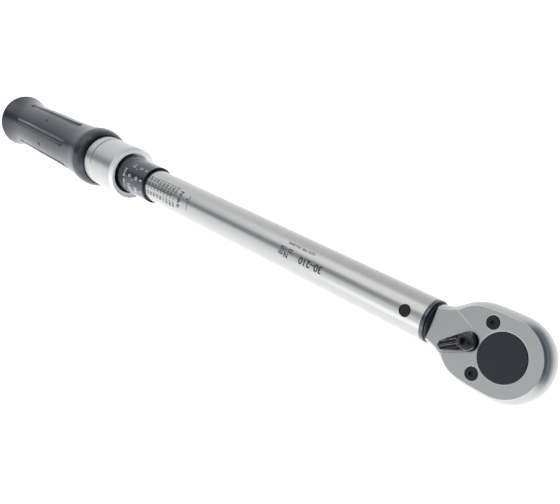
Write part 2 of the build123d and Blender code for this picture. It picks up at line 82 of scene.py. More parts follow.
# ------------------------------------------------------------------ shader nodes
class Graph:
    """Adds nodes to one shader tree. Most methods return the new node's output socket."""

    def __init__(self, tree):
        self.tree = tree

    def feed(self, socket, value):
        """Links another socket, or sets a plain value; colours are given as RGB."""
        if isinstance(value, bpy.types.NodeSocket):
            self.tree.links.new(value, socket)
        elif socket.type == "RGBA":
            socket.default_value = (*value, 1)
        else:
            socket.default_value = value

    def add(self, kind, inputs=None, **properties):
        node = self.tree.nodes.new("ShaderNode" + kind)
        for key, value in properties.items():
            setattr(node, key, value)
        for key, value in (inputs or {}).items():
            self.feed(node.inputs[key], value)
        return node

    def calc(self, operation, a, b, clamp=False):
        return self.add("Math", {0: a, 1: b}, operation=operation, use_clamp=clamp).outputs[0]

    def object_coords(self, scale=(1, 1, 1)):
        coords = self.add("TexCoord").outputs["Object"]
        return self.add("Mapping", {"Scale": scale, "Vector": coords}).outputs["Vector"]

    def split(self, vector):
        return self.add("SeparateXYZ", {0: vector}).outputs

    def noise(self, vector, scale, detail, roughness):
        inputs = {"Scale": scale, "Detail": detail, "Roughness": roughness, "Vector": vector}
        return self.add("TexNoise", inputs).outputs["Fac"]

    def map_range(self, value, low, high, interpolation="LINEAR"):
        inputs = {"From Min": low, "From Max": high, "Value": value}
        node = self.add("MapRange", inputs, interpolation_type=interpolation)
        return node.outputs["Result"]

    def smooth_range(self, value, low, high):
        return self.map_range(value, low, high, "SMOOTHSTEP")

    def ramp(self, factor, stops):
        """stops: (position, RGB)."""
        node = self.add("ValToRGB", {"Fac": factor})
        elements = node.color_ramp.elements
        while len(elements) < len(stops):
            elements.new(0.5)
        for element, (position, colour) in zip(elements, stops):
            element.position = position
            element.color = (*colour, 1)
        return node.outputs["Color"]

    def mix(self, factor, a, b):
        node = self.add("Mix", {"Factor": factor}, data_type="RGBA")
        colours = [socket for socket in node.inputs if socket.type == "RGBA"]
        self.feed(colours[0], a)
        self.feed(colours[1], b)
        return next(socket for socket in node.outputs if socket.type == "RGBA")

    def bevel(self, radius_mm):
        return self.add("Bevel", {"Radius": radius_mm * MM}, samples=4).outputs["Normal"]

    def edge_mask(self, radius_mm, low, high):
        """1 along convex and concave edges, 0 on open faces."""
        rounded_normal = self.bevel(radius_mm)
        true_normal = self.add("NewGeometry").outputs["Normal"]
        dot = self.add("VectorMath", {0: rounded_normal, 1: true_normal},
                       operation="DOT_PRODUCT")
        return self.map_range(self.calc("SUBTRACT", 1.0, dot.outputs["Value"]), low, high)


def fresh_graph(owner):
    """An emptied node tree on a material or world."""
    owner.use_nodes = True
    owner.node_tree.nodes.clear()
    return Graph(owner.node_tree)


def new_material(name):
    material = bpy.data.materials.new(name)
    graph = fresh_graph(material)
    output = graph.add("OutputMaterial")
    shader = graph.add("BsdfPrincipled")
    graph.feed(output.inputs["Surface"], shader.outputs["BSDF"])
    return material, graph, shader, output


def surface(name, colour, metallic, rough, spread=0.06, rough_spread=0.05, blotch=60.0,
            streak=None, streak_amount=0.06, grain=2500.0, grain_mm=0.004, bevel_mm=0.0,
            edge=None, edge_amount=0.35, edge_mm=0.35, edge_low=0.015, edge_high=0.2,
            edge_above=None, specular=None, coat=0.0, tint=None):
    """One procedural finish.

    spread, rough_spread: variation of colour and roughness over blotches of noise scale blotch
    streak, streak_amount: noise scale per axis, and strength, of directional streaks
    grain, grain_mm: noise scale and height of the fine bump
    edge...: colour, amount, width and threshold of lightened edges, in patches: part wear, part
    painted highlight; edge_above: only over this z, m
    tint: colour of the reflections, clear coat's included
    """
    material, graph, shader, _ = new_material(name)
    coords = graph.object_coords()
    blotches = graph.noise(coords, blotch, detail=5, roughness=0.6)
    dark = tuple(max(0.0, c * (1 - spread)) for c in colour)
    light = tuple(min(1.0, c * (1 + spread)) for c in colour)
    shade = graph.mix(blotches, dark, light)
    rough_noise = graph.noise(coords, blotch * 2.3, detail=4, roughness=0.6)
    roughness = graph.calc("ADD", rough - rough_spread,
                           graph.calc("MULTIPLY", rough_noise, 2 * rough_spread))
    height = graph.noise(coords, grain, detail=3, roughness=0.6)
    if streak:
        streaks = graph.noise(graph.object_coords(streak), 1.0, detail=6, roughness=0.7)
        shade = graph.mix(graph.calc("MULTIPLY", streaks, streak_amount), shade,
                          tuple(c * 0.55 for c in colour))
        centred = graph.calc("SUBTRACT", streaks, 0.5)
        roughness = graph.calc("ADD", roughness,
                               graph.calc("MULTIPLY", centred, streak_amount * 1.5))
        height = graph.calc("ADD", graph.calc("MULTIPLY", height, 0.4),
                            graph.calc("MULTIPLY", streaks, 0.6))
    # lightened edges: part wear and, on the head and lever, a painted highlight
    if edge:
        mask = graph.edge_mask(edge_mm, edge_low, edge_high)
        patches = graph.noise(coords, 700, detail=3, roughness=0.7)
        mask = graph.calc("MULTIPLY", mask, graph.calc("MULTIPLY", patches, edge_amount * 2),
                          clamp=True)
        if edge_above:
            above = graph.calc("GREATER_THAN", graph.split(coords)["Z"], edge_above)
            mask = graph.calc("MULTIPLY", mask, above, clamp=True)
        shade = graph.mix(mask, shade, edge)

    inputs = shader.inputs
    graph.feed(inputs["Base Color"], shade)
    graph.feed(inputs["Roughness"], graph.calc("MAXIMUM", roughness, 0.03))
    inputs["Metallic"].default_value = metallic
    if coat:
        inputs["Coat Weight"].default_value = coat
        inputs["Coat Roughness"].default_value = 0.12
    if specular is not None:
        inputs["Specular IOR Level"].default_value = specular
    if tint:
        graph.feed(inputs["Specular Tint"], tint)
        graph.feed(inputs["Coat Tint"], tint)
    bump = {"Height": height, "Distance": grain_mm * MM}
    if bevel_mm:
        bump["Normal"] = graph.bevel(bevel_mm)
    graph.feed(inputs["Normal"], graph.add("Bump", bump).outputs["Normal"])
    return material


# ------------------------------------------------------------------ finishes, by slot
# the head's edges get a painted highlight only round its top face
HEAD_HIGHLIGHT_Z = max(v.co.z for v in nodes["head_body"].data.vertices) - 0.0009

FINISH = {
    "tube_chrome": surface(
        "tube_satin_chrome", (0.52, 0.525, 0.525), metallic=1.0, rough=0.27,
        spread=0.012, rough_spread=0.015, blotch=30,
        streak=(10, 700, 700), streak_amount=0.03, grain=3000, grain_mm=0.00012),
    "head_satin": surface(
        "head_satin_nickel", (0.49, 0.50, 0.498), metallic=1.0, rough=0.33,
        spread=0.03, rough_spread=0.04, grain=5200, bevel_mm=0.35,
        # its lightened edges are a painted highlight along the top face's rim and the V step
        edge=(0.98, 0.98, 0.98), edge_amount=1.6, edge_mm=0.6, edge_low=0.05, edge_high=0.16,
        edge_above=HEAD_HIGHLIGHT_Z),
    "gear_black": surface(
        "gear_black_oxide", (0.032, 0.036, 0.046), metallic=0.5, rough=0.42,
        spread=0.10, rough_spread=0.06, grain=4200, bevel_mm=0.15,
        edge=(0.16, 0.17, 0.19), edge_amount=0.5),
    "black_steel": surface(
        "screw_black_oxide", (0.022, 0.023, 0.027), metallic=0.6, rough=0.34,
        spread=0.2, rough_spread=0.08, grain=4200, bevel_mm=0.1,
        edge=(0.2, 0.2, 0.21), edge_amount=0.5),
    "pin_black": surface(
        "pin_black_oxide", (0.018, 0.018, 0.021), metallic=0.4, rough=0.30,
        spread=0.2, rough_spread=0.06, grain=3600, bevel_mm=0.15),
    "lever_dark_chrome": surface(
        "lever_dark_chrome", (0.030, 0.030, 0.037), metallic=1.0, rough=0.16,
        spread=0.12, rough_spread=0.04, grain=3000, grain_mm=0.002, bevel_mm=0.25,
        # its lightened edges are a painted highlight along the grooves, tip and hub rims
        edge=(0.75, 0.76, 0.80), edge_amount=0.9),
    "collar_black": surface(
        "collar_gloss_black", (0.014, 0.015, 0.019), metallic=0.0, rough=0.16,
        spread=0.2, rough_spread=0.04, grain=1500, grain_mm=0.0015, bevel_mm=0.1,
        specular=1.0, coat=1.0, tint=(0.86, 0.92, 1.0)),
    "wiper_rubber": surface(
        "wiper_rubber", (0.016, 0.016, 0.018), metallic=0.0, rough=0.42,
        spread=0.2, rough_spread=0.08, grain=2600, grain_mm=0.006, bevel_mm=0.1),
    "hard_steel": surface(
        "ground_steel", (0.56, 0.57, 0.59), metallic=1.0, rough=0.25, spread=0.05,
        streak=(900, 60, 900), streak_amount=0.08, grain_mm=0.002, bevel_mm=0.1),
    "zinc_steel": surface(
        "zinc_plated_steel", (0.66, 0.66, 0.62), metallic=1.0, rough=0.3,
        spread=0.08, blotch=400, bevel_mm=0.1),
    "spring_steel": surface(
        "spring_wire", (0.5, 0.5, 0.52), metallic=1.0, rough=0.28, grain_mm=0.002),
    "spring_dark": surface(
        "oiled_spring_steel", (0.06, 0.06, 0.07), metallic=0.8, rough=0.3,
        spread=0.2, rough_spread=0.08),
    "brass": surface(
        "turned_brass", (0.72, 0.53, 0.25), metallic=1.0, rough=0.25,
        streak=(1200, 40, 40), streak_amount=0.08, bevel_mm=0.1),
    "core_aluminium": surface(
        "turned_aluminium_core", (0.72, 0.73, 0.74), metallic=1.0, rough=0.28, spread=0.04,
        streak=(1500, 8, 8), streak_amount=0.1, grain_mm=0.003),
    "nylon": surface(
        "nylon_bush", (0.78, 0.76, 0.70), metallic=0.0, rough=0.45, spread=0.04),
    "thimble_black": surface(
        "thimble_black_anodise", (0.020, 0.021, 0.026), metallic=0.35, rough=0.24,
        spread=0.15, streak=(1800, 12, 12), streak_amount=0.15, grain=3200, grain_mm=0.0015,
        specular=0.8, coat=0.8, tint=(0.9, 0.94, 1.0)),
    "ring_aluminium": surface(
        "ring_bright_aluminium", (0.60, 0.605, 0.60), metallic=1.0, rough=0.30,
        spread=0.02, rough_spread=0.04,
        streak=(1500, 5, 5), streak_amount=0.34, grain=3000, grain_mm=0.002),
    "grip_plastic": surface(
        "grip_satin_plastic", (0.011, 0.012, 0.016), metallic=0.0, rough=0.27,
        spread=0.12, grain=1900, specular=0.68, coat=0.25, tint=(0.84, 0.91, 1.0)),
    "cap_plastic": surface(
        "cap_satin_plastic", (0.022, 0.022, 0.026), metallic=0.0, rough=0.38,
        spread=0.15, rough_spread=0.06, grain=1900, grain_mm=0.012, bevel_mm=0.3),
    "print_dark": surface(
        "etched_print", (0.035, 0.037, 0.042), metallic=0.0, rough=0.55,
        spread=0.25, rough_spread=0.1, blotch=900, grain_mm=0.001),
    "print_white": surface(
        "filled_white_print", (0.72, 0.73, 0.74), metallic=0.0, rough=0.5,
        spread=0.08, rough_spread=0.1, blotch=900, grain_mm=0.001),
}


def dull_ring_front(material):
    """Makes the lock ring's front end paler, rougher and less metallic than its outside."""
    graph = Graph(material.node_tree)
    inputs = material.node_tree.nodes["Principled BSDF"].inputs
    x = graph.split(graph.add("TexCoord").outputs["Object"])["X"]
    front = graph.map_range(x, -0.3022, -0.3008)
    roughness = inputs["Roughness"].links[0].from_socket
    colour = inputs["Base Color"].links[0].from_socket
    graph.feed(inputs["Roughness"],
               graph.calc("ADD", roughness, graph.calc("MULTIPLY", front, 0.22)))
    graph.feed(inputs["Metallic"],
               graph.calc("SUBTRACT", 1.0, graph.calc("MULTIPLY", front, 0.8)))
    graph.feed(inputs["Base Color"], graph.mix(front, colour, (0.80, 0.82, 0.82)))


dull_ring_front(FINISH["ring_aluminium"])

slot_of = {part["node"]: part["material_slot"] for part in frame["record"]["subparts"]}
for name, ob in nodes.items():
    finish = FINISH[slot_of[name]]
    if not ob.material_slots:
        ob.data.materials.append(finish)
    for material_slot in ob.material_slots:
        material_slot.material = finish


# ------------------------------------------------------------------ floor
def floor_material():
    """A light table: the camera sees it evenly lit, and every other ray passes through it
    to the world below."""
    material, graph, shader, output = new_material("floor_white")
    clouds = graph.noise(graph.object_coords(), 9, detail=3, roughness=0.55)
    for key, value in {
            "Base Color": graph.mix(clouds, (0.90, 0.90, 0.90), (0.93, 0.93, 0.93)),
            "Roughness": 0.9,
            "Specular IOR Level": 0.0,
            "Emission Color": (1, 1, 1),
            "Emission Strength": 0.96}.items():
        graph.feed(shader.inputs[key], value)
    seen = graph.add("LightPath").outputs["Is Camera Ray"]
    clear = graph.add("BsdfTransparent").outputs[0]
    choice = graph.add("MixShader", {0: seen, 1: clear, 2: shader.outputs[0]})
    graph.feed(output.inputs["Surface"], choice.outputs[0])
    return material


def build_floor(x0=-2.2, x1=1.2, y0=-1.6, y1=1.6, z=-0.0004, cells=24):
    """A gridded plane; sizes in metres."""
    material = floor_material()
    bm = bmesh.new()
    grid = [[bm.verts.new((x0 + (x1 - x0) * i / cells, y0 + (y1 - y0) * j / cells, z))
             for j in range(cells + 1)] for i in range(cells + 1)]
    for i in range(cells):
        for j in range(cells):
            bm.faces.new((grid[i][j], grid[i + 1][j], grid[i + 1][j + 1], grid[i][j + 1]))
    mesh = bpy.data.meshes.new("floor")
    bm.to_mesh(mesh)
    bm.free()
    floor = bpy.data.objects.new("floor", mesh)
    SCENE.collection.objects.link(floor)
    mesh.materials.append(material)
    floor.visible_shadow = False


build_floor()

# ------------------------------------------------------------------ world
WORLD_STRENGTH = 1.6
WHITE = (1, 1, 1)
GAP = (0.92, 0.97, 1.08)
WARM = (1.0, 0.988, 0.955)
# (degrees round X, from +Y over the top to -Y; brightness; tint): a pale wall on the +Y side,
# a narrow dark gap overhead and a bright tent on the -Y side
REAR_TENT = [
    (-180, 1.45, WHITE), (-100, 1.5, WHITE), (-62, 1.2, WHITE), (-20, 1.05, WHITE),
    (30, 0.92, (0.99, 1, 1.01)), (60, 0.74, (0.96, 0.99, 1.03)), (77, 0.58, (0.94, 0.98, 1.05)),
    (84, 0.30, GAP), (104, 0.30, GAP), (113, 1.1, WHITE), (150, 1.25, WHITE),
    (180, 1.45, WHITE)]
FORE_TENT = [
    (-180, 1.5, WHITE), (-100, 1.5, WHITE), (-62, 1.15, WHITE), (-20, 0.82, WHITE),
    (20, 0.66, WHITE), (29, 0.95, WARM), (40, 1.6, WARM), (70, 1.6, WARM), (79, 0.28, GAP),
    (98, 0.30, GAP), (108, 1.1, WHITE), (150, 1.3, WHITE), (180, 1.5, WHITE)]


def glow(brightness, tint):
    """The colour that shows as this brightness at the world's strength."""
    return tuple(brightness * c / WORLD_STRENGTH for c in tint)


def build_world():
    world = bpy.data.worlds.new("studio")
    SCENE.world = world
    graph = fresh_graph(world)
    tent_light = graph.add("Background", {"Strength": WORLD_STRENGTH})
    seen_white = graph.add("Background", {"Color": WHITE, "Strength": 1.0})
    seen = graph.add("LightPath").outputs["Is Camera Ray"]
    choice = graph.add("MixShader", {0: seen, 1: tent_light.outputs[0],
                                     2: seen_white.outputs[0]})
    graph.add("OutputWorld", {"Surface": choice.outputs[0]})

    # x, y and z of the direction looked in
    toward = graph.split(graph.add("TexCoord").outputs["Generated"])
    angle = graph.calc("ARCTAN2", toward["Z"], toward["Y"])
    turn = graph.calc("ADD", graph.calc("MULTIPLY", angle, 1 / (2 * math.pi)), 0.5)
    rear, fore = (
        graph.ramp(turn, [((degrees + 180) / 360, glow(brightness, tint))
                          for degrees, brightness, tint in stops])
        for stops in (REAR_TENT, FORE_TENT))
    colour = graph.mix(graph.smooth_range(toward["X"], -0.79, -0.47), rear, fore)
    # straight over the head the ceiling is one even soft grey
    ceiling = graph.calc("MULTIPLY", graph.smooth_range(toward["X"], -0.44, -0.38),
                         graph.smooth_range(toward["Z"], 0.55, 0.75), clamp=True)
    colour = graph.mix(ceiling, colour, glow(0.86, (0.985, 1.0, 1.005)))
    # beyond the head end: a dark room, down to the edge of the glowing table
    room = graph.calc("MULTIPLY", graph.smooth_range(toward["X"], -0.18, 0.12),
                      graph.smooth_range(toward["Z"], -0.84, -0.60), clamp=True)
    room = graph.calc("MULTIPLY", room, graph.smooth_range(toward["Y"], -0.62, -0.15),
                      clamp=True)
    colour = graph.mix(room, colour, glow(0.13, (0.72, 0.95, 1.25)))
    graph.feed(tent_light.inputs["Color"], colour)


build_world()


# ------------------------------------------------------------------ lights
def area_light(name, place, target, width, height, power):
    light = bpy.data.lights.new(name, "AREA")
    light.shape = "RECTANGLE"
    light.size = width
    light.size_y = height
    light.energy = power
    ob = bpy.data.objects.new(name, light)
    SCENE.collection.objects.link(ob)
    ob.location = place
    ob.rotation_euler = (Vector(target) - Vector(place)).to_track_quat("-Z", "Y").to_euler()
    return ob


area_light("key_side", place=(-0.25, -0.95, 0.75), target=(-0.22, 0, 0),
           width=1.3, height=0.5, power=1.6)
ring_light = area_light("ring_front_card", place=(0.42, -0.42, 0.20),
                        target=(-0.30, 0, 0.026), width=0.35, height=0.35, power=5.0)
# this light falls on the lock ring alone
ring_set = bpy.data.collections.new("ring_front_only")
ring_light.light_linking.receiver_collection = ring_set
ring_light.light_linking.blocker_collection = ring_set


# ------------------------------------------------------------------ small springs of the frame
def pinch(node, axis, hold_end):
    """Finds the held end of a small coil spring along axis and gives the spring its own mesh.

    hold_end: max or min, the end that stays put along axis.
    """
    ob = nodes[node]
    axis = Vector(axis).normalized()
    points = [ob.matrix_world @ v.co for v in ob.data.vertices]
    places = [point.dot(axis) for point in points]
    middle = sum(points, Vector()) / len(points)
    anchor = middle + axis * (hold_end(places) - middle.dot(axis))
    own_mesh(ob)


pinch("drive_ball_spring", axis=(1, 0, 0), hold_end=min)
pinch("lever_detent_spring", axis=(0.838671, 0.544639, 0),
      hold_end=max)

# ------------------------------------------------------------------ camera
CAMERA_PLACE = (105.732590904, 43.384578216, AXIS_Z + 307.740407766)   # mm
CAMERA_RIGHT = (0.69644116, 0.35757258, -0.6221829)
CAMERA_DOWN = (0.34782092, -0.92656524, -0.14316935)
CAMERA_FORWARD = (-0.62768648, -0.1166992, -0.76966939)


def build_camera():
    data = bpy.data.cameras.new("camera")
    data.lens = 44.417
    data.sensor_width = 36.0
    data.sensor_fit = "HORIZONTAL"
    data.clip_start = 0.01
    camera = bpy.data.objects.new("camera", data)
    SCENE.collection.objects.link(camera)
    rows = [(right, -down, -forward, place * MM) for right, down, forward, place
            in zip(CAMERA_RIGHT, CAMERA_DOWN, CAMERA_FORWARD, CAMERA_PLACE)]
    camera.matrix_world = Matrix(rows + [(0, 0, 0, 1)])
    SCENE.camera = camera


build_camera()
SCENE.view_settings.view_transform = "Standard"
SCENE.view_settings.look = "None"


# ------------------------------------------------------------------ meshes and pieces
def finish_mesh(bm, name):
    """Turns the faces outwards and hands over the mesh."""
    bmesh.ops.recalc_face_normals(bm, faces=bm.faces)
    mesh = bpy.data.meshes.new(name)
    bm.to_mesh(mesh)
    bm.free()
    return mesh


def smooth(mesh, sharp_deg=SHARP_DEG):
    mesh.polygons.foreach_set("use_smooth", [True] * len(mesh.polygons))
    mesh.set_sharp_from_angle(angle=math.radians(sharp_deg))


def add_piece(name, mesh, body, finish):
    """An object that moves with body, wearing only the given finish."""
    ob = bpy.data.objects.new(name, mesh)
    SCENE.collection.objects.link(ob)
    mesh.materials.clear()
    mesh.materials.append(FINISH[finish])
    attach(ob, body)
    return ob


def add_solid(name, mesh, body, finish, sharp_deg=SHARP_DEG):
    """A smooth-shaded piece that fills the material slot of its finish."""
    smooth(mesh, sharp_deg)
    ob = add_piece(name, mesh, body, finish)
    return ob


def stitch(bm, rings):
    """Joins each ring to the next and the last to the first. A ring of one vertex is a point
    on the axis; two of them in a row are left unjoined."""
    for a, b in zip(rings, rings[1:] + rings[:1]):
        if len(a) == 1 and len(b) == 1:
            continue
        count = max(len(a), len(b))
        for k in range(count):
            j = (k + 1) % count
            if len(a) == 1:
                bm.faces.new((a[0], b[k], b[j]))
            elif len(b) == 1:
                bm.faces.new((a[k], b[0], a[j]))
            else:
                bm.faces.new((a[k], b[k], b[j], a[j]))


# ------------------------------------------------------------------ profiles
def arc_corner(before, corner, after, fillet, steps=4):
    """Points of the fillet that rounds a corner; a nearly straight corner stays."""
    to_before = (Vector(before) - Vector(corner)).normalized()
    to_after = (Vector(after) - Vector(corner)).normalized()
    angle = to_before.angle(to_after)
    if angle > math.radians(176):
        return [corner]
    run = fillet / math.tan(angle / 2)
    middle = (to_before + to_after).normalized()
    centre = Vector(corner) + middle * (fillet / math.sin(angle / 2))
    start = Vector(corner) + to_before * run - centre
    end = Vector(corner) + to_after * run - centre
    points = []
    for i in range(steps + 1):
        k = i / steps
        spoke = (start * (1 - k) + end * k).normalized() * fillet
        points.append((centre.x + spoke.x, centre.y + spoke.y))
    return points


def rounded(points):
    """points: (x, radius) or (x, radius, fillet), a closed loop. Returns (x, radius)."""
    out = []
    for i, point in enumerate(points):
        if len(point) > 2:
            after = points[(i + 1) % len(points)]
            out += arc_corner(points[i - 1][:2], point[:2], after[:2], point[2])
        else:
            out.append(point)
    return out


def spread(points, zones):
    """Adds stations along the flat runs of a profile. zones: (lowest x, highest x, step)."""
    out = []
    for a, b in zip(points, points[1:] + points[:1]):
        out.append(a)
        if abs(a[0] - b[0]) < 1e-6:
            continue
        low, high = min(a[0], b[0]), max(a[0], b[0])
        stations = set()
        for zone_low, zone_high, step in zones:
            start = max(low, zone_low)
            k = 0
            while start + k * step <= min(high, zone_high) + 1e-9:
                stations.add(round(start + k * step, 4))
                k += 1
        for x in sorted(stations, reverse=a[0] > b[0]):
            if low + 0.02 < x < high - 0.02:
                t = (x - a[0]) / (b[0] - a[0])
                out.append((x, a[1] + (b[1] - a[1]) * t))
    return out


# ------------------------------------------------------------------ cutting
def rod_cutter(radius, start, end, segs):
    """A closed cylinder as (vertices, faces). start, end: mm from the tube axis."""
    start, end = Vector(start), Vector(end)
    along = (end - start).normalized()
    u = along.orthogonal().normalized()
    v = along.cross(u)
    verts = []
    for p in (start, end):
        for k in range(segs):
            t = 2 * math.pi * k / segs
            rim = p + (u * math.cos(t) + v * math.sin(t)) * radius
            verts.append((rim + Vector((0, 0, AXIS_Z))) * MM)
    faces = []
    for k in range(segs):
        j = (k + 1) % segs
        faces.append((k, j, segs + j, segs + k))
    faces.append(range(segs - 1, -1, -1))
    faces.append(range(segs, 2 * segs))
    return verts, faces


def box_cutter(x0, x1, half_width, inner, outer, angle):
    """A box as (vertices, faces), reaching from radius inner to outer at an angle round the
    tube axis."""
    c, s = math.cos(angle), math.sin(angle)
    corners = ((-half_width, inner), (half_width, inner), (half_width, outer),
               (-half_width, outer))
    verts = [(x * MM, (r * c - q * s) * MM, (AXIS_Z + r * s + q * c) * MM)
             for x in (x0, x1) for q, r in corners]
    faces = ((0, 1, 2, 3), (4, 5, 6, 7), (0, 1, 5, 4), (1, 2, 6, 5), (2, 3, 7, 6), (3, 0, 4, 7))
    return verts, faces


def carve(ob, cutters):
    """Cuts closed shapes out of a piece and keeps the result as its mesh."""
    bm = bmesh.new()
    for verts, faces in cutters:
        corners = [bm.verts.new(v) for v in verts]
        for face in faces:
            bm.faces.new([corners[i] for i in face])
    cut_mesh = finish_mesh(bm, "cut")
    cutter = bpy.data.objects.new("cut", cut_mesh)
    SCENE.collection.objects.link(cutter)
    cut = ob.modifiers.new("cut", "BOOLEAN")
    cut.operation = "DIFFERENCE"
    cut.solver = "EXACT"
    cut.object = cutter
    depsgraph = bpy.context.evaluated_depsgraph_get()
    depsgraph.update()
    mesh = bpy.data.meshes.new_from_object(ob.evaluated_get(depsgraph))
    ob.modifiers.remove(cut)
    mesh.name = ob.name
    ob.data = mesh
    smooth(mesh)
    bpy.data.objects.remove(cutter)
    bpy.data.meshes.remove(cut_mesh)


def lathe(name, profile, body, finish, replaces, segs=160, cutters=()):
    """Revolves a loop of (x, radius) about the tube axis, then cuts it."""
    bm = bmesh.new()
    rings = []
    for x, radius in profile:
        if radius == 0:
            rings.append([bm.verts.new((x * MM, 0, AXIS_Z * MM))])
        else:
            rings.append([bm.verts.new(around(x, radius, 2 * math.pi * k / segs))
                          for k in range(segs)])
    stitch(bm, rings)
    ob = add_solid(name, finish_mesh(bm, name), body, finish)
    if cutters:
        carve(ob, cutters)
    weighted = ob.modifiers.new("weighted", "WEIGHTED_NORMAL")
    weighted.keep_sharp = True
    weighted.weight = 80
    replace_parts(ob, replaces)
    return ob


# ------------------------------------------------------------------ turned pieces
# profiles: (x, radius[, fillet]), mm
tube_profile = rounded([
    (TUBE_FRONT, TUBE_BORE, 0.15), (TUBE_FRONT, TUBE_R, 0.25),
    (TUBE_BACK, TUBE_R, 0.25), (TUBE_BACK, TUBE_BORE, 0.15)])
lathe("tube_shell",
      spread(tube_profile, [(TUBE_BACK, -44, 12.0), (-56.4, -46.0, 0.6), (-324, -318, 0.6)]),
      "tube", "tube_chrome", "outer_tube", segs=176,
      cutters=[rod_cutter(3.23, (CROSS_HOLE_X, 0, -16), (CROSS_HOLE_X, 0, 16), segs=72),
               rod_cutter(SMALL_HOLE_R, (PIN_HOLE_X, -16, 0), (PIN_HOLE_X, 16, 0), segs=40)])

lathe("front_collar_turned", rounded([
    (-47.2, 8.25), (-47.2, TUBE_BORE, 0.1), (TUBE_FRONT, TUBE_BORE),
    (TUBE_FRONT, TUBE_R, 0.35), (COLLAR_FRONT, TUBE_R, 0.45), (COLLAR_FRONT, 9.0),
    (-38.3, 9.0, 0.1), (-38.3, 8.25, 0.1)]),
    "tube", "collar_black", "front_collar")

lathe("collar_wiper_lip", rounded([
    (COLLAR_FRONT, 9.0), (COLLAR_FRONT, 10.4, 0.3), (-38.4, 10.4, 0.4), (-37.85, 9.9, 0.4),
    (-37.6, 9.1, 0.3), (-37.55, 8.2, 0.15), (-38.3, 8.2), (-38.3, 9.0)]),
    "tube", "wiper_rubber", "collar_wiper")

# three windows pierce the thimble, 120 degrees apart
thimble_profile = rounded([
    (-268.2, 11.3, 0.1), (-268.2, 12.4, 0.12), (-268.55, 12.73, 0.2), (-310.0, 13.14),
    (-310.65, 13.15, 0.08), (-310.65, 12.6, 0.08), (-311.95, 12.6, 0.08),
    (-311.95, 13.2, 0.08), (-352.0, 13.2, 0.2), (-352.0, 12.1, 0.1), (-322.0, 12.1),
    (-322.0, 11.3)])
lathe("thimble_turned", spread(thimble_profile, [(-310, -269, 4.0), (-350, -312.3, 1.2)]),
      "handle", "thimble_black", "thimble", segs=176,
      cutters=[box_cutter(-317.4, -312.6, half_width=3.0, inner=9, outer=16,
                          angle=math.radians(90 - 120 * k)) for k in range(3)])

ring_profile = rounded([
    (-301.4, 16.2), (-301.4, 14.5), (-299.35, 14.5, 0.25), (-299.0, 14.75, 0.2),
    (-298.05, 16.6, 0.05), (-297.85, 16.68, 0.05), (-297.15, 17.7, 0.3),
    (-297.15, 18.15, 0.28), (-302.0, 18.3, 1.5), (-325.4, 18.3, 0.12), (-325.7, 17.9, 0.1),
    (-326.3, 17.9, 0.1), (-326.6, 18.3, 0.12), (-338.0, 18.3, 0.45), (-338.0, 16.4, 0.2),
    (-318.0, 16.4), (-318.0, 13.28), (-317.35, 13.28), (-312.0, 13.68), (-312.0, 16.2)])
ring = lathe("lock_ring_turned", spread(ring_profile, [(-325, -303, 2.0), (-337, -327, 2.0)]),
             "lock_ring", "ring_aluminium", "lock_ring", segs=192)
ring_set.objects.link(ring)

lathe("end_cap_moulded", rounded([
    (-461.9, 0), (-461.9, 9.0, 0.2), (-459.4, 9.0, 0.2), (-459.4, 13.4), (-459.0, 13.4, 0.1),
    (-459.0, CORE_R, 0.2), (-463.0, CORE_R, 0.1), (-463.0, 17.0), (-466.2, 17.0, 0.4),
    (-467.6, 15.4, 1.5), (-468.3, 12.0, 8.0), (-468.6, 6.0), (-468.6, 0)]),
    "handle", "cap_plastic", "end_cap", segs=144)


def core_hole(degrees):
    """A small radial hole in the front of the handle core."""
    t = math.radians(degrees)
    inner, outer = ((-347, r * math.cos(t), r * math.sin(t)) for r in (11, 18))
    return rod_cutter(SMALL_HOLE_R, inner, outer, segs=32)


lathe("handle_core_turned", rounded([
    (-331.0, 13.2, 0.15), (-331.0, CORE_R, 0.3), (-459.0, CORE_R, 0.3), (-459.0, 9.5, 0.2),
    (-452.0, 9.5), (-452.0, 4.05), (-440.0, 4.05), (-440.0, 8.0), (-366.0, 8.0),
    (-364.0, 11.6), (-352.0, 11.6), (-352.0, 13.2)]),
    "handle", "core_aluminium", "handle_core", segs=120,
    cutters=[core_hole(60 - 120 * k) for k in range(3)])


# ------------------------------------------------------------------ grip
# a moulded skin with six ball-ended scoops and an oval dent on each rib between them
def smooth_curve(points, step):
    """A cubic through the points, with a station about every step mm."""
    out = []
    last = len(points) - 1
    for i in range(last):
        p1, p2 = points[i], points[i + 1]
        p0 = points[max(i - 1, 0)]
        p3 = points[min(i + 2, last)]
        length = math.dist(p1, p2)
        count = max(2, int(length / step))
        slope1 = [(p2[c] - p0[c]) / math.dist(p2, p0) * length for c in (0, 1)]
        slope2 = [(p3[c] - p1[c]) / math.dist(p3, p1) * length for c in (0, 1)]
        for k in range(count):
            t = k / count
            h = (2 * t ** 3 - 3 * t * t + 1, t ** 3 - 2 * t * t + t,
                 -2 * t ** 3 + 3 * t * t, t ** 3 - t * t)
            out.append(tuple(h[0] * p1[c] + h[1] * slope1[c] + h[2] * p2[c] + h[3] * slope2[c]
                             for c in (0, 1)))
    out.append(points[-1])
    return out


def arc_through(a, m, b, steps):
    """The arc from a to b, shorter than a half turn, of the circle through a, m and b."""
    ax, ay, mx, my, bx, by = *a, *m, *b
    d = 2 * (ax * (my - by) + mx * (by - ay) + bx * (ay - my))
    aa, mm, bb = ax * ax + ay * ay, mx * mx + my * my, bx * bx + by * by
    cx = (aa * (my - by) + mm * (by - ay) + bb * (ay - my)) / d
    cy = (aa * (bx - mx) + mm * (ax - bx) + bb * (mx - ax)) / d
    radius = math.dist((cx, cy), a)
    start = math.atan2(ay - cy, ax - cx)
    sweep = math.remainder(math.atan2(by - cy, bx - cx) - start, math.tau)
    angles = (start + sweep * k / steps for k in range(steps + 1))
    return [(cx + radius * math.cos(t), cy + radius * math.sin(t)) for t in angles]


